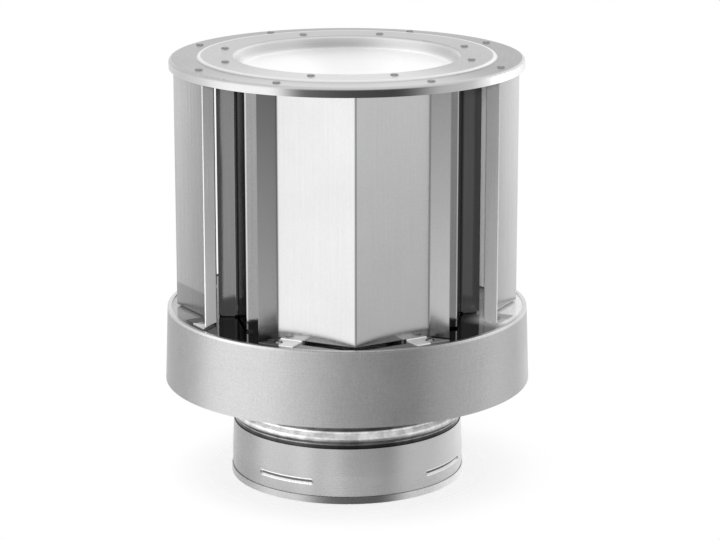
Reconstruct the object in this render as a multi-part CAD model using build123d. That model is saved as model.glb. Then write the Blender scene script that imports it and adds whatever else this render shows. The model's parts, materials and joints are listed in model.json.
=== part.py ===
from build123d import *
import math
import os

# Direct vent termination cap for the top of a coaxial flue, in millimetres.
# Z is the flue's axis, upwards. The collar's mouth stands on z = 0 and the front vane faces -Y.
# Spent gas rises in the inner flue pipe and leaves sideways between the vanes. Fresh air goes up
# under the drum's skirt, over the neck tube's upper edge and down between neck tube and flue pipe.

# Sheets and clearances
CAP_SHEET = 0.8
PIPE_SHEET = 0.6
BRACKET_SHEET = 1.2
SPACER_SHEET = 1.0
FIT_GAP = 0.1
FLUE_GAP = 0.3
TANGENT_GAP = 0.02
FOLD_RADIUS = 1.6

# Heights of the stack, from the collar's mouth upwards
COLLAR_HEIGHT = 40.5
NECK_SHOWING = 32.0
DRUM_DEPTH = 54.5
VENT_HEIGHT = 183.0

# Drum: the base plate in its slightly conical skirt
DRUM_RADIUS = 133.8
DRUM_TAPER = 2.0
DRUM_LIP = 3.0
PLATE_FLANGE = 10.0

# Lid, a single pressing, by how far each form stands inside the one before it
RIM_SETBACK = 5.8
RIM_DEPTH = 6.8
RIM_CURL = 2.0
RIM_TOP_RADIUS = 2.5
RING_INSET = 20.5
STEP_HEIGHT = 1.3
STEP_RUN = 1.6
DISH_INSET = 26.0
DISH_DEPTH = 8.5
DISH_SLOPE_RUN = 4.9
DISH_SHOULDER = 3.0

# Outer vanes, by their outer skin: apex, corner behind it and tip of the side flange, each by how
# far it stands inside the drum's upper edge
VANE_COUNT = 4
FIRST_VANE_AZIMUTH = -90.0
OUTER_APEX_INSET = 6.8
OUTER_CORNER_INSET = 22.0
OUTER_CORNER_ANGLE = 28.7
OUTER_TIP_INSET = 8.5
OUTER_TIP_ANGLE = 32.5
VANE_FOLD = 2.0
OUTER_TAB_WIDTH = 16.3
OUTER_TAB_GAP = 0.15
OUTER_RIVET_ALONG = 4.5
OUTER_RIVET_OUT = 8.3

# Inner vanes, half a step round from the outer ones, by how far they stand inside the lid's ring
INNER_APEX_INSET = 1.9
INNER_CORNER_INSET = 19.6
INNER_CORNER_ANGLE = 21.5
INNER_TIP_INSET = 7.5
INNER_TIP_ANGLE = 25.5
INNER_TAB_WIDTH = 10.0
INNER_TAB_DEPTH = 9.5
INNER_RIVET_ALONG = 7.4
INNER_RIVET_OUT = 4.7
TAB_RELIEF = 2.0

# Collar: socket for the outer pipe, with a hem turned outwards round its mouth
SOCKET_BORE_RADIUS = 84.45
SOCKET_DEPTH = 20.0
SLEEVE_TAPER = 0.85
HEM_HEIGHT = 5.0
HEM_SLOT = 0.25
LOCK_COUNT = 4
FIRST_LOCK_AZIMUTH = -35.0
LOCK_HEIGHT = 15.3
LOCK_ARC = 29.0
LOCK_GROOVE = 3.4
LOCK_DEPTH = 1.6
LOCK_FLOOR = 1.4

# Neck tube, which slides into the collar's sleeve
NECK_OVERLAP = 18.0
NECK_ABOVE_SKIRT = 34.0
BEAD_START = 3.5
BEAD_HEIGHT = 8.0
BEAD_PROUD = 2.6
BEAD_CREST_RADIUS = 3.2

# Flue pipe, with a socket for the inner pipe at its foot
FLUE_BORE_RADIUS = 50.8
FLUE_SOCKET_STEP = 0.8
FLUE_SOCKET_DEPTH = 40.0
FLUE_SOCKET_TAPER = 3.0
FLUE_SETBACK = 3.0
FLUE_ABOVE_PLATE = 12.0
FLANGE_LEG = 10.0
FLANGE_WIDTH = 13.0

# Brackets that hang the neck tube, and spacers that centre the flue pipe
BRACKET_COUNT = 4
FIRST_BRACKET_AZIMUTH = 45.0
BRACKET_WIDTH = 16.0
BRACKET_LAP = 21.0
BRACKET_FOOT = 20.0
BRACKET_FOLD = 2.4
SPACER_WIDTH = 14.0
SPACER_LEG = 12.0
SPACER_DROP = 36.0
SPACER_FOLD = 2.0

# Blind rivets
RIVET_RADIUS = 1.6
RIVET_HOLE_GAP = 0.05
RIVET_HEAD_RADIUS = 3.2
RIVET_CROWN_RADIUS = 2.1
RIVET_HEAD_HEIGHT = 1.1
RIVET_TAIL_RADIUS = 2.4
RIVET_TAIL_HEIGHT = 1.5

# Side of a skin line that the metal lies on, along the line's own direction
LEFT = 1
RIGHT = -1

# Levels that follow from the sizes above
DRUM_BOTTOM = COLLAR_HEIGHT + NECK_SHOWING
DRUM_TOP = DRUM_BOTTOM + DRUM_DEPTH
PLATE_TOP = DRUM_TOP - CAP_SHEET
PLATE_UNDER = PLATE_TOP - CAP_SHEET
LID_UNDER = PLATE_TOP + VENT_HEIGHT
LID_TOP = LID_UNDER + CAP_SHEET
RING_TOP = LID_TOP + STEP_HEIGHT
DISH_FLOOR = RING_TOP - DISH_DEPTH
DRUM_TOP_RADIUS = DRUM_RADIUS - DRUM_TAPER
RIM_RADIUS = DRUM_RADIUS - RIM_SETBACK
RING_RADIUS = RIM_RADIUS - RING_INSET
DISH_RADIUS = RING_RADIUS - DISH_INSET
NECK_BOTTOM = COLLAR_HEIGHT - NECK_OVERLAP
NECK_TOP = DRUM_BOTTOM + NECK_ABOVE_SKIRT
SLEEVE_BORE_RADIUS = SOCKET_BORE_RADIUS - SLEEVE_TAPER
NECK_RADIUS = SLEEVE_BORE_RADIUS - FIT_GAP
NECK_BORE_RADIUS = NECK_RADIUS - PIPE_SHEET
FLUE_SOCKET_RADIUS = FLUE_BORE_RADIUS + FLUE_SOCKET_STEP
FLUE_RADIUS = FLUE_BORE_RADIUS + PIPE_SHEET
FLUE_HOLE_RADIUS = FLUE_RADIUS + FLUE_GAP
FLUE_TOP = PLATE_TOP + FLUE_ABOVE_PLATE
RIVET_HOLE_RADIUS = RIVET_RADIUS + RIVET_HOLE_GAP

VANE_AZIMUTHS = [FIRST_VANE_AZIMUTH + 360 / VANE_COUNT * i for i in range(VANE_COUNT)]
GAP_AZIMUTHS = [azimuth + 180 / VANE_COUNT for azimuth in VANE_AZIMUTHS]
LOCK_AZIMUTHS = [FIRST_LOCK_AZIMUTH + 360 / LOCK_COUNT * i for i in range(LOCK_COUNT)]
BRACKET_AZIMUTHS = [FIRST_BRACKET_AZIMUTH + 360 / BRACKET_COUNT * i for i in range(BRACKET_COUNT)]


def turned(shape, azimuth):
    return Rot(0, 0, azimuth) * shape


def sheet_section(points, radii, thickness, side):
    """Section of a folded sheet: one skin through the points, the metal to its left or right.

    A bend with radius 0 is creased sharp on both skins.
    """
    points = [Vector(p) for p in points]
    runs = [(b - a).normalized() for a, b in zip(points, points[1:])]
    across = [Vector(-run.Y, run.X) * side * thickness for run in runs]
    second = [points[0] + across[0]]
    second_radii = []
    for i in range(1, len(runs)):
        before, after = across[i - 1], across[i]
        second.append(points[i] + (before + after) / (1 + before.dot(after) / thickness**2))
        turn = math.copysign(thickness, side * runs[i - 1].cross(runs[i]).Z)
        second_radii.append(max(radii[i - 1] - turn, 0) if radii[i - 1] else 0)
    second.append(points[-1] + across[-1])
    first_skin = FilletPolyline(*points, radius=radii)
    second_skin = FilletPolyline(*second, radius=second_radii)
    ends = [Line(points[0], second[0]), Line(points[-1], second[-1])]
    return make_face(Curve() + [first_skin, second_skin, *ends])


def spun(section):
    """Full ring from a section drawn as (radius, height)."""
    return revolve(Plane.XZ * section, Axis.Z)


def plan_point(radius, angle):
    return Vector(radius * math.cos(math.radians(angle)), radius * math.sin(math.radians(angle)))


def drum_radius(height):
    """Outer radius of the conical skirt at a height."""
    share = (height - DRUM_BOTTOM) / DRUM_DEPTH
    return DRUM_RADIUS - DRUM_TAPER * share


class Vane:
    """Plan of one vane inside a circle, in its own frame with +X pointing out through its apex."""

    def __init__(self, circle, apex_inset, corner_inset, corner_angle, tip_inset, tip_angle):
        self.apex = plan_point(circle - apex_inset, 0)
        self.corner = plan_point(circle - corner_inset, corner_angle)
        self.tip = plan_point(circle - tip_inset, tip_angle)

    def skin(self):
        far = [Vector(p.X, -p.Y) for p in (self.corner, self.tip)]
        return [self.tip, self.corner, self.apex, *far]


class Fold:
    """Line that a foot is folded along: where it starts, the way it runs and the way the foot goes."""

    def __init__(self, start, end, side, skin_offset):
        self.along = (end - start).normalized()
        self.out = Vector(self.along.Y, -self.along.X) * side
        self.start = start + self.out * skin_offset

    def point(self, along, out):
        return self.start + self.along * along + self.out * out

    def reach(self, along, circle):
        """How far out the foot can go at a place along the line before it meets a circle."""
        place = self.point(along, 0)
        outward = place.dot(self.out)
        return math.sqrt(circle**2 - place.dot(place) + outward**2) - outward


OUTER = Vane(
    DRUM_TOP_RADIUS,
    OUTER_APEX_INSET,
    OUTER_CORNER_INSET,
    OUTER_CORNER_ANGLE,
    OUTER_TIP_INSET,
    OUTER_TIP_ANGLE,
)
INNER = Vane(
    RING_RADIUS,
    INNER_APEX_INSET,
    INNER_CORNER_INSET,
    INNER_CORNER_ANGLE,
    INNER_TIP_INSET,
    INNER_TIP_ANGLE,
)
# An outer vane's feet leave the V panel's outer face, an inner vane's the flange's inner face.
OUTER_FOLD = Fold(OUTER.corner, OUTER.apex, -1, 0)
INNER_FOLD = Fold(INNER.corner, INNER.tip, -1, CAP_SHEET)
# The outer feet end just inside the bend of the lid's rim.
FOOT_CIRCLE = RIM_RADIUS - RIM_TOP_RADIUS - OUTER_TAB_GAP
OUTER_TAB_DEPTH = OUTER_FOLD.reach(TAB_RELIEF + OUTER_TAB_WIDTH, FOOT_CIRCLE)
OUTER_RIVET = OUTER_FOLD.point(OUTER_RIVET_ALONG, OUTER_RIVET_OUT)
INNER_RIVET = INNER_FOLD.point(INNER_RIVET_ALONG, INNER_RIVET_OUT)


def both_sides(point):
    return [point, Vector(point.X, -point.Y)]


def round_the_axis(points, azimuths):
    """The same plan points repeated at each azimuth."""
    return [p.rotate(Axis.Z, azimuth) for azimuth in azimuths for p in points]


OUTER_RIVETS = round_the_axis(both_sides(OUTER_RIVET), VANE_AZIMUTHS)
INNER_RIVETS = round_the_axis(both_sides(INNER_RIVET), GAP_AZIMUTHS)


def drill(points, low, high):
    """Rivet holes along Z through everything between two levels."""
    hole = Cylinder(RIVET_HOLE_RADIUS, high - low, align=(Align.CENTER, Align.CENTER, Align.MIN))
    return [Pos(p.X, p.Y, low) * hole for p in points]


def foot(fold, width, depth):
    """Foot folded off a vane, lying flat on z = 0 and joining the vane above its bend."""
    origin = fold.point(TAB_RELIEF, 0)
    section = sheet_section(
        [(-CAP_SHEET, 2 * FOLD_RADIUS), (-CAP_SHEET, 0), (depth, 0)],
        [FOLD_RADIUS],
        CAP_SHEET,
        LEFT,
    )
    return extrude(Plane(origin=origin, x_dir=fold.out, z_dir=fold.along) * section, width)


def outer_ear():
    """Corner of an outer vane's foot that widens towards the flange, clear of the foot's bend."""
    flange = OUTER.tip - OUTER.corner
    lean = flange.dot(OUTER_FOLD.along) / flange.dot(OUTER_FOLD.out)
    corners = [
        OUTER_FOLD.point(TAB_RELIEF, FOLD_RADIUS),
        OUTER_FOLD.point(TAB_RELIEF, OUTER_TAB_DEPTH),
        OUTER_FOLD.point(lean * OUTER_TAB_DEPTH + CAP_SHEET, OUTER_TAB_DEPTH),
    ]
    return extrude(make_face(Polyline(*corners, close=True)), CAP_SHEET)


def vane(plan, feet, rivet, height):
    """Upright V-folded sheet with side flanges, and feet at its lower and upper ends."""
    section = sheet_section(plan.skin(), [VANE_FOLD] * 3, CAP_SHEET, RIGHT)
    sheet = Pos(0, 0, FOLD_RADIUS) * extrude(section, height - 2 * FOLD_RADIUS)
    lower = feet + mirror(feet, Plane.XZ)
    upper = Pos(0, 0, height) * mirror(lower, Plane.XY)
    return Pos(0, 0, PLATE_TOP) * (sheet + lower + upper - drill(both_sides(rivet), 0, height))


def outer_vane():
    feet = foot(OUTER_FOLD, OUTER_TAB_WIDTH, OUTER_TAB_DEPTH) + outer_ear()
    return vane(OUTER, feet, OUTER_RIVET, VENT_HEIGHT)


def inner_vane():
    feet = foot(INNER_FOLD, INNER_TAB_WIDTH, INNER_TAB_DEPTH)
    return vane(INNER, feet, INNER_RIVET, VENT_HEIGHT + STEP_HEIGHT)


def lid():
    """Pressed cover: curled rim, flat outer ring, raised ring and sunk centre dish."""
    rim_bottom = LID_TOP - RIM_DEPTH
    skin = [
        (RIM_RADIUS - RIM_CURL, rim_bottom),
        (RIM_RADIUS, rim_bottom),
        (RIM_RADIUS, LID_TOP),
        (RING_RADIUS + STEP_RUN / 2, LID_TOP),
        (RING_RADIUS - STEP_RUN / 2, RING_TOP),
        (DISH_RADIUS, RING_TOP),
        (DISH_RADIUS - DISH_SLOPE_RUN, DISH_FLOOR),
        (0, DISH_FLOOR),
    ]
    bends = [0, RIM_TOP_RADIUS, 0, 0, DISH_SHOULDER, 0]
    cover = spun(sheet_section(skin, bends, CAP_SHEET, LEFT))
    return cover - drill(OUTER_RIVETS + INNER_RIVETS, LID_UNDER, RING_TOP)


def base_plate():
    """Disc with a turned-down edge inside the skirt, and a hole for the flue pipe."""
    edge = CAP_SHEET + FIT_GAP
    flange_bottom = PLATE_TOP - PLATE_FLANGE
    skin = [
        (drum_radius(flange_bottom) - edge, flange_bottom),
        (drum_radius(PLATE_TOP) - edge, PLATE_TOP),
        (FLUE_HOLE_RADIUS, PLATE_TOP),
    ]
    plate = spun(sheet_section(skin, [0], CAP_SHEET, LEFT))
    return plate - drill(OUTER_RIVETS + INNER_RIVETS, PLATE_UNDER, PLATE_TOP)


def drum_band():
    """Conical skirt, crimped in over the base plate's edge."""
    skin = [
        (DRUM_RADIUS, DRUM_BOTTOM),
        (DRUM_TOP_RADIUS, DRUM_TOP),
        (DRUM_TOP_RADIUS - DRUM_LIP, DRUM_TOP),
    ]
    return spun(sheet_section(skin, [CAP_SHEET], CAP_SHEET, LEFT))


def lock_sweep(base_radius, base_half, crest_radius, crest_half, arc):
    """Round-ended ridge along an arc about Z, tapering from its base to its crest nearer the axis."""
    section = make_face(
        Polyline(
            (base_radius, -base_half),
            (base_radius, base_half),
            (crest_radius, crest_half),
            (crest_radius, -crest_half),
            close=True,
        )
    )
    bar = turned(revolve(Plane.XZ * section, Axis.Z, revolution_arc=arc), -arc / 2)
    height = base_radius - crest_radius
    end = Cone(crest_half, base_half, height, align=(Align.CENTER, Align.CENTER, Align.MIN))
    end = Pos(crest_radius, 0, 0) * Rot(0, 90, 0) * end
    return bar + turned(end, arc / 2) + turned(end, -arc / 2)


def collar():
    """Socket that tapers in round the neck, with a rolled hem and pressed-in locking grooves."""
    hem_radius = SOCKET_BORE_RADIUS + 2 * PIPE_SHEET + HEM_SLOT
    skin = [
        (SLEEVE_BORE_RADIUS, COLLAR_HEIGHT),
        (SOCKET_BORE_RADIUS, SOCKET_DEPTH),
        (SOCKET_BORE_RADIUS, 0),
        (hem_radius, 0),
        (hem_radius, HEM_HEIGHT),
    ]
    shell = spun(sheet_section(skin, [0] * 3, PIPE_SHEET, LEFT))
    crest = SOCKET_BORE_RADIUS - LOCK_DEPTH
    outer_skin = SOCKET_BORE_RADIUS + PIPE_SHEET
    half_floor = LOCK_FLOOR / 2
    half_groove = LOCK_GROOVE / 2
    rib = lock_sweep(
        outer_skin - FIT_GAP, half_groove + PIPE_SHEET, crest, half_floor + PIPE_SHEET, LOCK_ARC
    )
    groove = lock_sweep(outer_skin + FIT_GAP, half_groove, crest + PIPE_SHEET, half_floor, LOCK_ARC)
    for azimuth in LOCK_AZIMUTHS:
        shell += Pos(0, 0, LOCK_HEIGHT) * turned(rib, azimuth)
        shell -= Pos(0, 0, LOCK_HEIGHT) * turned(groove, azimuth)
    return shell


def neck_tube():
    """Tube with a rounded bead, from its tapered foot in the collar up inside the skirt."""
    bead_bottom = COLLAR_HEIGHT + BEAD_START
    foot_flare = SLEEVE_TAPER * NECK_OVERLAP / (COLLAR_HEIGHT - SOCKET_DEPTH)
    skin = [
        (NECK_RADIUS + foot_flare, NECK_BOTTOM),
        (NECK_RADIUS, COLLAR_HEIGHT),
        (NECK_RADIUS, bead_bottom),
        (NECK_RADIUS + BEAD_PROUD, bead_bottom + BEAD_HEIGHT / 2),
        (NECK_RADIUS, bead_bottom + BEAD_HEIGHT),
        (NECK_RADIUS, NECK_TOP),
    ]
    return spun(sheet_section(skin, [0, 0, BEAD_CREST_RADIUS, 0], PIPE_SHEET, LEFT))


def flue_pipe():
    """Inner pipe, widened at its foot into a socket for the pipe below."""
    socket_top = FLUE_SETBACK + FLUE_SOCKET_DEPTH
    bore = [
        (FLUE_SOCKET_RADIUS, FLUE_SETBACK),
        (FLUE_SOCKET_RADIUS, socket_top),
        (FLUE_BORE_RADIUS, socket_top + FLUE_SOCKET_TAPER),
        (FLUE_BORE_RADIUS, FLUE_TOP),
    ]
    skin = [(radius + PIPE_SHEET, height) for radius, height in reversed(bore)]
    return spun(make_face(Polyline(*bore, *skin, close=True)))


def flue_flange():
    """Angle ring standing on the base plate round the flue pipe."""
    bore = FLUE_RADIUS + FIT_GAP
    skin = [
        (bore, PLATE_TOP + FLANGE_LEG),
        (bore, PLATE_TOP),
        (bore + FLANGE_WIDTH, PLATE_TOP),
    ]
    return spun(sheet_section(skin, [0], CAP_SHEET, LEFT))


def neck_bracket():
    """Angle that hangs the neck tube from the base plate, spot-welded to both."""
    face = NECK_RADIUS + TANGENT_GAP
    skin = [
        (face, NECK_TOP - BRACKET_LAP),
        (face, PLATE_UNDER),
        (face + BRACKET_FOOT, PLATE_UNDER),
    ]
    section = sheet_section(skin, [BRACKET_FOLD], BRACKET_SHEET, RIGHT)
    return extrude(Plane.XZ * section, BRACKET_WIDTH / 2, both=True)


def pipe_spacer():
    """Channel strap whose legs lie against the flue pipe and the neck tube's bore."""
    flue_face = FLUE_RADIUS + TANGENT_GAP
    neck_face = math.sqrt(NECK_BORE_RADIUS**2 - (SPACER_WIDTH / 2) ** 2) - TANGENT_GAP
    top = NECK_TOP - SPACER_DROP
    skin = [
        (flue_face, top - SPACER_LEG),
        (flue_face, top),
        (neck_face, top),
        (neck_face, top - SPACER_LEG),
    ]
    section = sheet_section(skin, [SPACER_FOLD] * 2, SPACER_SHEET, RIGHT)
    return extrude(Plane.XZ * section, SPACER_WIDTH / 2, both=True)


def rivet(grip):
    """Blind rivet along Z: crowned head above z = 0, grip and flared tail below it."""
    outline = Polyline(
        (0, RIVET_HEAD_HEIGHT),
        (RIVET_CROWN_RADIUS, RIVET_HEAD_HEIGHT),
        (RIVET_HEAD_RADIUS, 0),
        (RIVET_RADIUS, 0),
        (RIVET_RADIUS, -grip),
        (RIVET_TAIL_RADIUS, -grip - RIVET_TAIL_HEIGHT),
        (0, -grip - RIVET_TAIL_HEIGHT),
        close=True,
    )
    return spun(make_face(outline))


def rivet_group(points, level):
    """Rivets through two sheets, their heads on the upper one."""
    body = rivet(2 * CAP_SHEET)
    return Compound([(Pos(p.X, p.Y, level) * body).solid() for p in points])


def sides(names, azimuths, prefix, shape):
    """The same shape at each azimuth, named after the side that it faces."""
    return {prefix + name: turned(shape, azimuth) for name, azimuth in zip(names, azimuths)}


def build():
    foot_top = PLATE_TOP + CAP_SHEET
    faces = ["front", "right", "back", "left"]
    gaps = ["front_right", "back_right", "back_left", "front_left"]
    corners = ["back_right", "back_left", "front_left", "front_right"]
    nodes = {
        "lid": lid(),
        "base_plate": base_plate(),
        "drum_band": drum_band(),
        "collar": collar(),
        "neck_tube": neck_tube(),
        "flue_pipe": flue_pipe(),
        "flue_flange": flue_flange(),
        "rivets_lid_outer": rivet_group(OUTER_RIVETS, LID_TOP),
        "rivets_lid_inner": rivet_group(INNER_RIVETS, RING_TOP),
        "rivets_plate_outer": rivet_group(OUTER_RIVETS, foot_top),
        "rivets_plate_inner": rivet_group(INNER_RIVETS, foot_top),
    }
    nodes |= sides(faces, VANE_AZIMUTHS, "outer_vane_", outer_vane())
    nodes |= sides(gaps, GAP_AZIMUTHS, "inner_vane_", inner_vane())
    nodes |= sides(corners, BRACKET_AZIMUTHS, "neck_bracket_", neck_bracket())
    nodes |= sides(corners, BRACKET_AZIMUTHS, "pipe_spacer_", pipe_spacer())
    return nodes


def main():
    os.makedirs("parts", exist_ok=True)
    for name, shape in build().items():
        export_step(shape, f"parts/{name}.step")


main()
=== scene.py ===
"""Looks of the direct vent termination cap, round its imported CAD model. Metres, Z up the flue's axis."""

import json
import math

import bpy
from mathutils import Matrix, Vector

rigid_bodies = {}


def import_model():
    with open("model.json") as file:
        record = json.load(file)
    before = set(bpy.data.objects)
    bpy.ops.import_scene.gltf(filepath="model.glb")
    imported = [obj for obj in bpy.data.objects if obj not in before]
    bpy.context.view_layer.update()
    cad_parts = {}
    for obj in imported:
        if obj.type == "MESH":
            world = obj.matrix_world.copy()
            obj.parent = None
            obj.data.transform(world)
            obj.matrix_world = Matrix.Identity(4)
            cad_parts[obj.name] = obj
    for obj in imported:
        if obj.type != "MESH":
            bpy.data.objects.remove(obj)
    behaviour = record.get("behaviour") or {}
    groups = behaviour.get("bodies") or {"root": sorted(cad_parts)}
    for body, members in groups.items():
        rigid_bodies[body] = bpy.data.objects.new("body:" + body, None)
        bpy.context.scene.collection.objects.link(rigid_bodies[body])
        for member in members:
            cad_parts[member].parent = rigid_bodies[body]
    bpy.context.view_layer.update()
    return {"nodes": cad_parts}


for old in list(bpy.data.objects):
    bpy.data.objects.remove(old)
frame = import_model()
nodes = frame["nodes"]
scene = bpy.context.scene

# Camera, fitted to the photo's outlines
SENSOR = 0.036
PHOTO_WIDTH_PX = 720
FOCAL_PX = 2639.0
CAMERA_AZIMUTH = -2.932
CAMERA_ELEVATION = 14.376
CAMERA_DISTANCE = 1.9352
AIM_RIGHT = 0.00942
AIM_UP = 0.15117


def place_camera():
    """Camera at the photo's angle, distance and lens."""
    azimuth, elevation = math.radians(CAMERA_AZIMUTH), math.radians(CAMERA_ELEVATION)
    across = math.cos(elevation)
    back = Vector((math.sin(azimuth) * across, -math.cos(azimuth) * across, math.sin(elevation)))
    right = Vector((math.cos(azimuth), math.sin(azimuth), 0.0))
    up = back.cross(right)
    data = bpy.data.cameras.new("photo_camera")
    data.sensor_width = SENSOR * 1000
    data.lens = FOCAL_PX / PHOTO_WIDTH_PX * SENSOR * 1000
    camera = bpy.data.objects.new("photo_camera", data)
    scene.collection.objects.link(camera)
    place = right * AIM_RIGHT + Vector((0, 0, AIM_UP)) + back * CAMERA_DISTANCE
    turn = Matrix((right, up, back)).transposed().to_4x4()
    camera.matrix_world = Matrix.Translation(place) @ turn
    scene.camera = camera


place_camera()


class Nodes:
    """Short way to build a node tree."""

    def __init__(self, tree):
        self.tree = tree
        self.tree.nodes.clear()

    def add(self, kind, **sockets):
        node = self.tree.nodes.new(kind)
        for name, value in sockets.items():
            self.put(node.inputs[name.replace("_", " ")], value)
        return node

    def put(self, socket, value):
        if isinstance(value, bpy.types.NodeSocket):
            self.tree.links.new(value, socket)
        else:
            socket.default_value = value

    def math(self, operation, *values):
        node = self.tree.nodes.new("ShaderNodeMath")
        node.operation = operation
        for socket, value in zip(node.inputs, values):
            self.put(socket, value)
        return node.outputs[0]

    def plus(self, one, other):
        return self.math("ADD", one, other)

    def times(self, first, *others):
        for other in others:
            first = self.math("MULTIPLY", first, other)
        return first

    def less(self, share):
        """1 less the share."""
        return self.math("SUBTRACT", 1.0, share)

    def mix(self, mask, off, on):
        """Value that goes from off to on with the mask."""
        return self.plus(self.times(self.less(mask), off), self.times(mask, on))

    def combine(self, x, y, z):
        return self.add("ShaderNodeCombineXYZ", X=x, Y=y, Z=z).outputs[0]

    def noise(self, vector, scale, detail=2.0, roughness=0.5):
        node = self.add(
            "ShaderNodeTexNoise", Vector=vector, Scale=scale, Detail=detail, Roughness=roughness
        )
        return node.outputs["Fac"]

    def span(self, value, low, high, start=0.0, end=1.0):
        """Value from start..end mapped to low..high, held at both ends."""
        node = self.add("ShaderNodeMapRange", Value=value)
        for name, number in (("From Min", start), ("From Max", end), ("To Min", low), ("To Max", high)):
            node.inputs[name].default_value = number
        return node.outputs[0]

    def inside(self, value, low, high, soft):
        """1 between two values and 0 outside them, with soft ends."""
        rise = self.span(value, 0.0, 1.0, low - soft, low + soft)
        return self.times(rise, self.span(value, 1.0, 0.0, high - soft, high + soft))

    def ramp(self, value, stops, smooth=True):
        """Grey ramp through (place, level) stops."""
        node = self.add("ShaderNodeValToRGB", Fac=value)
        ramp = node.color_ramp
        ramp.interpolation = "EASE" if smooth else "LINEAR"
        while len(ramp.elements) < len(stops):
            ramp.elements.new(1.0)
        for element, (place, level) in zip(ramp.elements, stops):
            element.position = place
            element.color = (level, level, level, 1.0)
        return node.outputs["Color"]


def turn_round(n, x, y):
    """Turn round the axis: 0.5 at the front, 0.25 at the left, 0.75 at the right and 0 or 1 behind."""
    azimuth = n.math("ARCTAN2", x, n.times(y, -1.0))
    return n.span(azimuth, 0.0, 1.0, -math.pi, math.pi)


class Spot:
    """Where a point of the cap lies: X, Y, Z, distance from the axis and turn round it."""

    def __init__(self, n, place):
        self.x, self.y, self.z = n.add("ShaderNodeSeparateXYZ", Vector=place).outputs
        self.radius = n.math("SQRT", n.plus(n.times(self.x, self.x), n.times(self.y, self.y)))
        self.turn = turn_round(n, self.x, self.y)
        self.aside = n.math("ABSOLUTE", self.x)
        self.along = n.math("ABSOLUTE", self.y)


# Vanes: stretches that their painted light and shade and their dullness change over, in metres
FLANGE_FROM = 0.0531
FRONT_FOLD = 0.0006
SIDE_FOLD = 0.0008
MID_BLUR = 0.001
VANE_HEIGHTS = (0.14, 0.30)
FRONT_FOOT = (0.132, 0.139)
FRONT_FOOT_LINE = (0.1272, 0.1277)
SIDE_PANEL = (0.0, 0.045)
SIDE_REAR = (0.015, 0.03)
SIDE_FOOT = (0.1435, 0.1455)
SIDE_FOOT_LINE = (0.1275, 0.129)
INNER_FOLD = (0.0362, 0.0372)


def by_side(n, spot, left, right):
    """One level on the left half and another on the right half."""
    return n.span(spot.x, left, right, -MID_BLUR, MID_BLUR)


def by_height(n, spot, low, high):
    """Level that fades from the vanes' lower ends to their upper ends."""
    return n.span(spot.z, low, high, *VANE_HEIGHTS)


# Most of a noise's values lie between these two
NOISE_SPREAD = (0.3, 0.7)


def zinc_grain(n, spot, place, grain_turn, linen):
    """Brushed grain along Z or along the circumference, and fine specks."""
    if grain_turn == "up":
        stretched = n.combine(n.times(spot.x, 700.0), n.times(spot.y, 700.0), n.times(spot.z, 12.0))
    else:
        rings = n.times(n.plus(spot.z, spot.radius), 900.0)
        stretched = n.combine(n.times(spot.turn, 31.0), rings, 0.0)
    grain = n.noise(stretched, 1.0, 4.0, 0.65)
    if linen:
        upright = n.combine(n.times(spot.turn, 900.0), n.times(spot.z, 60.0), 0.0)
        weave = n.noise(upright, 1.0, 3.0, 0.6)
        grain = n.plus(n.times(grain, 1.0 - linen), n.times(weave, linen))
    return grain, n.noise(place, 900.0, 2.0, 0.6)


def sheet_metal(name, tone, rough, grain_turn, wave, smudge=0.06, grainy=1.0, linen=0.0, **zones):
    """Galvanised sheet: fine brushed grain, soft smudges and a slight waviness.

    grain_turn: "up" for grain along Z, "round" for grain along the circumference.
    grainy: contrast of the grain. linen: strength of a second grain across the first.
    zones: functions of the spot. shade gives a factor of the tone that paints light, shade and reflections by
    place, matte how dull the zinc is there, and calm is 1 where the sheet has no grain.
    """
    material = bpy.data.materials.new(name)
    material.use_nodes = True
    n = Nodes(material.node_tree)
    place = n.add("ShaderNodeTexCoord").outputs["Object"]
    spot = Spot(n, place)
    grain, speck = zinc_grain(n, spot, place, grain_turn, linen)
    if "calm" in zones:
        still = zones["calm"](n, spot)
        grain = n.mix(still, grain, 0.5)
        speck = n.mix(still, speck, 0.5)
    patch = n.noise(place, 16.0, 3.0, 0.55)
    blotch = n.span(patch, 0.96, 1.04, *NOISE_SPREAD)
    both = n.plus(n.times(grain, 0.5), n.times(speck, 0.5))
    dark, light = tone * (1 - 0.12 * grainy), tone * (1 + 0.1 * grainy)
    level = n.times(n.span(both, dark, light, *NOISE_SPREAD), blotch)
    if "shade" in zones:
        # painted light and shade: the tone is multiplied by the shade factor
        level = n.times(level, zones["shade"](n, spot))
    level = n.math("MINIMUM", level, 0.95)
    smear = n.span(patch, -smudge, smudge, *NOISE_SPREAD)
    roughness = n.plus(n.span(grain, rough * 0.85, rough * 1.2, *NOISE_SPREAD), smear)
    soft = n.add("ShaderNodeBump", Strength=wave, Distance=0.02, Height=n.noise(place, 9.0, 1.0, 0.5))
    height = n.plus(grain, n.times(speck, 0.6))
    fine = n.add(
        "ShaderNodeBump", Strength=0.10 * grainy, Distance=0.0002, Height=height, Normal=soft.outputs[0]
    )
    surface = n.add(
        "ShaderNodeBsdfPrincipled",
        Base_Color=n.combine(level, level, n.times(level, 1.004)),
        Metallic=1.0,
        Roughness=roughness,
        Normal=fine.outputs[0],
    )
    if "matte" in zones:
        n.put(surface.inputs["Metallic"], n.less(zones["matte"](n, spot)))
    n.add("ShaderNodeOutputMaterial", Surface=surface.outputs[0])
    return material


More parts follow.
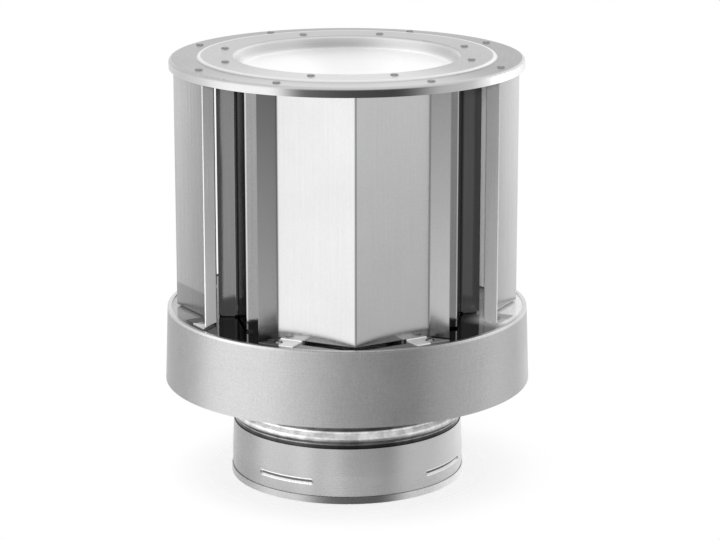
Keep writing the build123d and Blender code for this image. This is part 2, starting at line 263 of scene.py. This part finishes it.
def front_vane_shade(n, spot):
    """Painted shade: flanges darker than the panels, darkest under the lid and at the foot; right panel fades
    downwards.
    """
    left = n.span(spot.x, 1.0, 0.0, -FLANGE_FROM, -FLANGE_FROM + FRONT_FOLD)
    right = n.span(spot.x, 0.0, 1.0, FLANGE_FROM - FRONT_FOLD, FLANGE_FROM)
    right_panel = n.span(spot.x, 0.0, 1.0, -MID_BLUR / 2, MID_BLUR / 2)
    panels = n.plus(n.times(right_panel, by_height(n, spot, -0.14, 0.04)), 1.05)
    left_flange = n.less(n.times(left, by_height(n, spot, 0.32, 0.70)))
    right_flange = n.less(n.times(right, by_height(n, spot, 0.31, 0.67)))
    # painted dark reflection on the flanges near the foot
    foot = n.times(n.plus(left, n.times(right, 0.7)), n.span(spot.z, 0.85, 0.0, *FRONT_FOOT))
    return n.times(panels, left_flange, right_flange, n.less(foot))


def front_vane_matte(n, spot):
    """Pale line along the foot."""
    return n.span(spot.z, 0.9, 0.0, *FRONT_FOOT_LINE)


def side_vane_rear(n, spot, level):
    """Level on the rear half of the right vane and 0 elsewhere."""
    return n.times(n.span(spot.y, 0.0, level, *SIDE_REAR), by_side(n, spot, 0.0, 1.0))


def side_vane_shade(n, spot):
    """Painted shade: panels fade towards their flanges and towards the base; flanges fade upwards; painted
    light on the right vane's rear half.
    """
    on_flange = n.span(spot.along, 0.0, 1.0, FLANGE_FROM - SIDE_FOLD, FLANGE_FROM)
    panel = n.times(n.span(spot.along, 1.12, 0.62, *SIDE_PANEL), by_height(n, spot, 0.88, 1.12))
    # painted dark reflection low on the left vane's panels
    low = n.times(n.span(spot.z, 0.28, 0.0, *SIDE_FOOT), by_side(n, spot, 1.0, 0.0))
    flange = n.times(by_height(n, spot, 1.0, 0.74), by_side(n, spot, 1.0, 0.78))
    left_foot = n.times(low, n.less(on_flange))
    shade = n.times(n.mix(on_flange, panel, flange), n.less(left_foot))
    # painted light on the right vane's rear half
    return n.math("MAXIMUM", shade, side_vane_rear(n, spot, 1.5))


def side_vane_matte(n, spot):
    """Dull flanges, and on the right a dull rear half and dull feet."""
    flange = n.span(spot.along, 0.05, 0.85, FLANGE_FROM - SIDE_FOLD, FLANGE_FROM)
    foot = n.times(n.span(spot.z, 0.85, 0.0, *SIDE_FOOT_LINE), by_side(n, spot, 0.0, 1.0))
    return n.math("MAXIMUM", flange, n.math("MAXIMUM", side_vane_rear(n, spot, 0.9), foot))


def inner_flange(n, spot, level):
    """Level on the far flanges of the side gaps and 0 beyond their fold."""
    return n.span(spot.along, level, 0.0, *INNER_FOLD)


def inner_vane_shade(n, spot):
    """Painted shade on the side panels and the flanges behind them, more so on the right."""
    deep = n.span(n.math("SUBTRACT", spot.aside, spot.along), 0.0, 1.0, 0.0, MID_BLUR)
    shade = n.mix(inner_flange(n, spot, 1.0), 0.12, by_side(n, spot, 0.6, 0.19))
    return n.mix(deep, 1.0, shade)


def inner_vane_matte(n, spot):
    """Dull flanges behind the gaps."""
    return n.times(inner_flange(n, spot, 0.3), by_side(n, spot, 0.35, 1.0))


# Lid: stretches that its painted light and shade, dullness and grain change over, in metres or turns
LID_RADIUS = 0.13
RIM_RADII = (0.12, 0.122)
RIM_HEIGHTS = (0.3076, 0.3088)
RIM_END_HEIGHTS = (0.3086, 0.3096)
RIM_END_TURNS = (0.63, 0.78)
DISH_REAR = (0.02, 0.078)
DISH_REAR_RADII = (0.077, 0.079)
DISH_ENDS = (0.01, 0.06)
DISH_ENDS_RADII = (0.077, 0.08)
DISH_CALM_RADII = (0.076, 0.079)
DISH_DULL_RADII = (0.0762, 0.0775)


def lid_rings(n, spot, *stops):
    """Level by distance from the axis, through (radius, level) stops."""
    share = n.math("DIVIDE", spot.radius, LID_RADIUS)
    return n.ramp(share, [(radius / LID_RADIUS, level) for radius, level in stops], False)


def lid_rim(n, spot, level, heights):
    """Level on the turned-down rim, fading to 0 between two heights."""
    return n.times(n.span(spot.z, 1.0, 0.0, *heights), n.span(spot.radius, 0.0, level, *RIM_RADII))


def lid_shade(n, spot):
    """Painted light and shade: bright dish floor, darker wall, bright steps, outer ring darker at its sides,
    rim dark in front.
    """
    dish = [(0.0, 1.05), (0.045, 1.08), (0.0758, 1.1), (0.0770, 0.98), (0.0785, 0.86), (0.080, 0.95)]
    shoulder = [(0.0812, 1.25), (0.0822, 0.97)]
    step = [(0.1048, 0.97), (0.1056, 1.3), (0.1074, 1.3), (0.108, 0.86)]
    top = lid_rings(n, spot, *dish, *shoulder, *step)
    # painted shade on the dish floor near its rear wall; painted light at the dish's left and right ends
    far = n.times(n.span(spot.y, 0.0, 0.12, *DISH_REAR), n.span(spot.radius, 1.0, 0.0, *DISH_REAR_RADII))
    on_ends = n.span(spot.radius, 1.0, 0.0, *DISH_ENDS_RADII)
    ends = n.times(n.span(spot.aside, 0.0, 0.26, *DISH_ENDS), on_ends)
    raised = [(0.0, 0.0), (0.0806, 0.0), (0.0816, 0.75), (0.1048, 0.75), (0.1056, 0.0)]
    outer = [(0.1074, 0.0), (0.108, 1.0), (0.1255, 1.0), (0.1262, 0.0)]
    aside = n.ramp(spot.turn, [(0.0, 0.38), (0.3, 0.32), (0.45, 0.0), (0.55, 0.0), (0.66, 0.46), (1.0, 0.38)])
    sides = n.times(lid_rings(n, spot, *raised, *outer), aside)
    top = n.times(top, n.less(far), n.plus(ends, 1.0), n.less(sides))
    left = [(0.0, 0.83), (0.36, 1.0), (0.425, 0.91), (0.46, 0.2)]
    right = [(0.53, 0.2), (0.58, 0.79), (0.63, 1.0), (0.65, 2.2), (0.71, 2.2), (1.0, 0.83)]
    return n.mix(lid_rim(n, spot, 1.0, RIM_HEIGHTS), top, n.ramp(spot.turn, left + right))


def lid_calm(n, spot):
    """No grain on the dish floor."""
    return n.span(spot.radius, 1.0, 0.0, *DISH_CALM_RADII)


def lid_matte(n, spot):
    """Dull dish floor and right end of the rim."""
    right_end = n.times(
        n.inside(spot.turn, *RIM_END_TURNS, 0.02), lid_rim(n, spot, 0.85, RIM_END_HEIGHTS)
    )
    return n.math("MAXIMUM", n.span(spot.radius, 0.3, 0.0, *DISH_DULL_RADII), right_end)


# Drum band and collar: stretches that their painted light and shade and their dullness change over, in metres
# or shares of a quarter turn
BAND_LIP = (0.1248, 0.1256)
HEM_HEIGHTS = (0.0049, 0.0052)
HEM_RADII = (0.0851, 0.0853)
GROOVE_HEIGHT = 0.0153
GROOVE_HALF = 0.0024
GROOVE_CORE = 0.0009
GROOVE_BLUR = 0.0003
GROOVE_SHARE = (0.333, 0.667)
GROOVE_START = 0.889
GROOVES = 4


def band_shade(n, spot):
    """Painted light and shade: broad soft lights and darks round the drum, and a painted highlight on its
    upper edge.
    """
    left = [(0.0, 0.9), (0.28, 0.8), (0.32, 0.84), (0.365, 1.0), (0.43, 0.88)]
    right = [(0.5, 1.0), (0.57, 0.73), (0.63, 0.99), (0.68, 0.75), (0.75, 0.77), (1.0, 0.9)]
    edge = n.ramp(spot.turn, [(0.0, 0.5), (0.38, 0.5), (0.45, 0.08), (0.56, 0.08), (0.62, 0.5), (1.0, 0.5)])
    lip = n.times(edge, n.span(spot.z, 0.0, 1.0, *BAND_LIP))
    return n.times(n.ramp(spot.turn, left + right), n.plus(lip, 1.0))


def on_groove(n, spot, reach):
    """1 within a height of a locking groove's middle."""
    around = n.math("FRACT", n.plus(n.times(spot.turn, GROOVES), GROOVE_START))
    height = n.math("ABSOLUTE", n.math("SUBTRACT", spot.z, GROOVE_HEIGHT))
    near = n.span(height, 1.0, 0.0, reach - GROOVE_BLUR, reach)
    return n.times(n.inside(around, *GROOVE_SHARE, 0.004), near)


def collar_shade(n, spot):
    """Painted light and shade: bright hem that darkens at the front, and painted highlights round the locking
    grooves with painted shade in their middles.
    """
    left = [(0.0, 1.0), (0.36, 0.82), (0.41, 0.72), (0.45, 0.88)]
    right = [(0.485, 1.28), (0.52, 1.2), (0.56, 0.95), (0.64, 1.05), (1.0, 1.0)]
    left_hem = [(0.0, 1.1), (0.38, 0.98), (0.42, 0.86), (0.475, 0.34)]
    right_hem = [(0.53, 0.36), (0.59, 1.3), (0.66, 1.5), (1.0, 1.1)]
    on_hem = n.times(n.span(spot.z, 1.0, 0.0, *HEM_HEIGHTS), n.span(spot.radius, 0.0, 1.0, *HEM_RADII))
    body = n.mix(on_hem, n.ramp(spot.turn, left + right), n.ramp(spot.turn, left_hem + right_hem))
    groove = n.math("SUBTRACT", 1.35, n.times(on_groove(n, spot, GROOVE_CORE), 1.2))
    return n.mix(on_groove(n, spot, GROOVE_HALF), body, groove)


def collar_matte(n, spot):
    """Half dull grooves."""
    return n.times(on_groove(n, spot, GROOVE_HALF), 0.45)


# Neck tube and base plate: stretches that their painted light and shade and their dullness change over, in
# metres or turns
NECK_LOW = 0.04
NECK_HIGH = 0.062
ABOVE_BEAD = (0.048, 0.0534)
PAINTED_PALE_TURNS = (0.66, 0.78)
PAINTED_PALE_RADII = (0.094, 0.108)
PAINTED_GREY_TURNS = (0.22, 0.312)
PAINTED_GREY_RADII = (0.1, 0.105)


def neck_shade(n, spot):
    """Painted shade and light: dim under the drum, light above the bead, dark lines along it and a black
    painted shadow on the collar; random mottle.
    """
    left = [(0.0, 0.7), (0.36, 0.98), (0.42, 0.85), (0.46, 0.6)]
    around = n.ramp(spot.turn, left + [(0.54, 0.6), (0.64, 0.75), (1.0, 0.7)])
    foot = [(0.0405, 0.1), (0.043, 0.15), (0.0436, 0.9), (0.0444, 0.9)]
    bead = [(0.0449, 0.3), (0.046, 0.3), (0.0466, 1.0)]
    above = [(0.0485, 1.7), (0.053, 1.8), (0.0538, 0.35), (0.0552, 0.35), (0.056, 0.6), (0.062, 0.5)]
    reach = NECK_HIGH - NECK_LOW
    stops = [((height - NECK_LOW) / reach, level) for height, level in foot + bead + above]
    lines = n.ramp(n.span(spot.z, 0.0, 1.0, NECK_LOW, NECK_HIGH), stops, False)
    mottle = n.noise(n.combine(spot.x, spot.y, spot.z), 160.0, 2.0, 0.6)
    return n.times(around, n.span(mottle, 0.7, 1.1, 0.35, 0.65), lines)


def neck_matte(n, spot):
    """Dull stretch above the bead."""
    return n.times(n.inside(spot.z, *ABOVE_BEAD, 0.0006), 0.6)


def painted_pale_plate(n, spot):
    """1 on the plate's edge under the right vane, which is dull and has painted light."""
    return n.times(n.inside(spot.turn, *PAINTED_PALE_TURNS, 0.012), n.span(spot.radius, 0.0, 1.0, *PAINTED_PALE_RADII))


def painted_grey_plate(n, spot):
    """1 on the plate's edge under the left vane, which is half dull and has painted light."""
    return n.times(n.inside(spot.turn, *PAINTED_GREY_TURNS, 0.01), n.span(spot.radius, 0.0, 1.0, *PAINTED_GREY_RADII))


def plate_shade(n, spot):
    """Painted shade, near black to the front left, with painted light on the edges under the side vanes."""
    left = [(0.0, 0.8), (0.28, 0.5), (0.33, 0.3), (0.42, 0.3)]
    right = [(0.46, 0.8), (0.57, 0.7), (0.62, 0.9), (0.85, 0.8)]
    # painted light on the plate's edges under the side vanes
    pale = n.mix(painted_pale_plate(n, spot), 1.0, 3.7)
    grey = n.mix(painted_grey_plate(n, spot), 1.0, 3.0)
    return n.times(n.ramp(spot.turn, left + right), pale, grey)


def plate_matte(n, spot):
    """Dull edge under the side vanes."""
    return n.math("MAXIMUM", n.times(painted_pale_plate(n, spot), 0.85), n.times(painted_grey_plate(n, spot), 0.6))


front_metal = sheet_metal(
    "front_vane_metal", tone=0.64, rough=0.20, grain_turn="up", wave=0.04, smudge=0.03, grainy=0.5,
    shade=front_vane_shade, matte=front_vane_matte,
)
side_metal = sheet_metal(
    "side_vane_metal", tone=0.64, rough=0.22, grain_turn="up", wave=0.04, smudge=0.03,
    shade=side_vane_shade, matte=side_vane_matte,
)
inner_metal = sheet_metal(
    "inner_vane_metal", tone=0.56, rough=0.09, grain_turn="up", wave=0.06, smudge=0.02,
    shade=inner_vane_shade, matte=inner_vane_matte,
)
dim_edges = inner_metal.node_tree.nodes["Principled BSDF"].inputs["Specular Tint"]
dim_edges.default_value = (0.5, 0.5, 0.5, 1.0)
lid_metal = sheet_metal(
    "lid_metal", tone=0.80, rough=0.30, grain_turn="round", wave=0.02, smudge=0.04, grainy=0.25,
    shade=lid_shade, matte=lid_matte, calm=lid_calm,
)
band_metal = sheet_metal(
    "band_metal", tone=0.64, rough=0.32, grain_turn="round", wave=0.05, smudge=0.08, grainy=1.5, linen=0.5,
    shade=band_shade,
)
# low tone: painted shade on the plate, which mirrors the shaded inside of the cap
plate_metal = sheet_metal(
    "plate_metal", tone=0.26, rough=0.08, grain_turn="round", wave=0.04, smudge=0.01,
    shade=plate_shade, matte=plate_matte,
)
collar_metal = sheet_metal(
    "collar_metal", tone=0.64, rough=0.28, grain_turn="round", wave=0.06, smudge=0.03, grainy=0.5, linen=0.3,
    shade=collar_shade, matte=collar_matte,
)
neck_metal = sheet_metal(
    "neck_metal", tone=0.60, rough=0.16, grain_turn="round", wave=0.06, smudge=0.05,
    shade=neck_shade, matte=neck_matte,
)
pipe_metal = sheet_metal("pipe_metal", tone=0.64, rough=0.20, grain_turn="round", wave=0.06, smudge=0.03)
bracket_metal = sheet_metal("bracket_metal", tone=0.50, rough=0.40, grain_turn="up", wave=0.03)
rivet_metal = sheet_metal("rivet_metal", tone=0.34, rough=0.25, grain_turn="round", wave=0.02)

FINISHES = {
    "lid": lid_metal,
    "drum_band": band_metal,
    "base_plate": plate_metal,
    "flue_flange": plate_metal,
    "collar": collar_metal,
    "neck_tube": neck_metal,
    "flue_pipe": pipe_metal,
    "outer_vane_front": front_metal,
}
PREFIXES = {
    "outer_vane_": side_metal,
    "inner_vane_": inner_metal,
    "neck_bracket_": bracket_metal,
    "pipe_spacer_": bracket_metal,
    "rivets_": rivet_metal,
}
for name, node in nodes.items():
    finish = FINISHES.get(name) or next(m for p, m in PREFIXES.items() if name.startswith(p))
    for slot in node.material_slots:
        slot.material = finish

# Light of the studio's walls, by turn round the room
WALLS = [(0.0, 0.70), (0.12, 0.50), (0.18, 0.52), (0.26, 0.88), (0.362, 0.98), (0.405, 0.66), (0.50, 0.30)]
WALLS += [(0.60, 0.24), (0.66, 0.55), (0.75, 0.50), (0.85, 0.66), (0.92, 0.80), (1.0, 0.70)]
CEILING = (0.62, 0.62, 0.62, 1.0)
CEILING_HEIGHTS = (0.3, 0.9)
DARK_TURNS = (0.41, 0.63)
DARK_HEIGHTS = (0.0, 0.12)
STUDIO_STRENGTH = 1.35


def world():
    """White backdrop for the camera; soft studio walls, lighter and darker round the room, for the rest."""
    scene.world = bpy.data.worlds.new("studio")
    scene.world.use_nodes = True
    n = Nodes(scene.world.node_tree)
    direction = n.add("ShaderNodeTexCoord").outputs["Generated"]
    x, y, z = n.add("ShaderNodeSeparateXYZ", Vector=direction).outputs
    turn = turn_round(n, x, y)
    # the room behind the camera is dark above the table
    dark = n.times(n.inside(turn, *DARK_TURNS, 0.05), n.span(z, 0.0, 0.92, *DARK_HEIGHTS))
    light = n.add("ShaderNodeMix", Factor=n.span(z, 0.0, 1.0, *CEILING_HEIGHTS))
    light.data_type = "RGBA"
    n.put(light.inputs["A"], n.times(n.ramp(turn, WALLS), n.less(dark)))
    n.put(light.inputs["B"], CEILING)
    studio = n.add("ShaderNodeBackground", Color=light.outputs["Result"], Strength=STUDIO_STRENGTH)
    backdrop = n.add("ShaderNodeBackground", Color=(1.0, 1.0, 1.0, 1.0), Strength=1.0)
    both = n.add("ShaderNodeMixShader", Fac=n.add("ShaderNodeLightPath").outputs["Is Camera Ray"])
    n.put(both.inputs[1], studio.outputs[0])
    n.put(both.inputs[2], backdrop.outputs[0])
    n.add("ShaderNodeOutputWorld", Surface=both.outputs[0])


world()


# What the lamps point at, in metres
CAP_MIDDLE = Vector((0.0, 0.0, 0.2))


def softbox(name, place, size, power):
    """Area lamp that lights dull surfaces and isn't mirrored in bright ones."""
    data = bpy.data.lights.new(name, "AREA")
    data.shape = "RECTANGLE"
    data.size, data.size_y = size
    data.energy = power
    lamp = bpy.data.objects.new(name, data)
    lamp.visible_glossy = False
    scene.collection.objects.link(lamp)
    lamp.location = place
    lamp.rotation_euler = (CAP_MIDDLE - Vector(place)).to_track_quat("-Z", "Y").to_euler()


softbox("top_softbox", place=(-0.2, 0.1, 1.6), size=(1.2, 1.2), power=14.0)
softbox("front_softbox", place=(-0.098, -2.12, 0.6), size=(0.16, 0.6), power=62.0)


# Floor, in metres
FLOOR_RADIUS = 0.7
FLOOR_FADE = (0.09, 0.2)
UNDER_MOUTH = (0.083, 0.0835)


def floor():
    """Plain pale floor, fading out with distance and left open under the collar's mouth."""
    bpy.ops.mesh.primitive_circle_add(
        vertices=96, radius=FLOOR_RADIUS, fill_type="NGON", location=(0, 0, 0)
    )
    ground = bpy.context.object
    ground.name = "floor"
    material = bpy.data.materials.new("floor_paint")
    material.use_nodes = True
    n = Nodes(material.node_tree)
    length = n.add("ShaderNodeVectorMath", Vector=n.add("ShaderNodeTexCoord").outputs["Object"])
    length.operation = "LENGTH"
    away = n.span(length.outputs["Value"], 0.7, 1.0, *FLOOR_FADE)
    under_mouth = n.span(length.outputs["Value"], 1.0, 0.0, *UNDER_MOUTH)
    paint = n.add("ShaderNodeBsdfPrincipled", Base_Color=(0.9, 0.9, 0.9, 1.0), Roughness=0.8)
    clear = n.add("ShaderNodeBsdfTransparent")
    both = n.add("ShaderNodeMixShader", Fac=n.math("MAXIMUM", away, under_mouth))
    n.put(both.inputs[1], paint.outputs[0])
    n.put(both.inputs[2], clear.outputs[0])
    n.add("ShaderNodeOutputMaterial", Surface=both.outputs[0])
    ground.data.materials.append(material)


floor()
scene.view_settings.view_transform = "Standard"
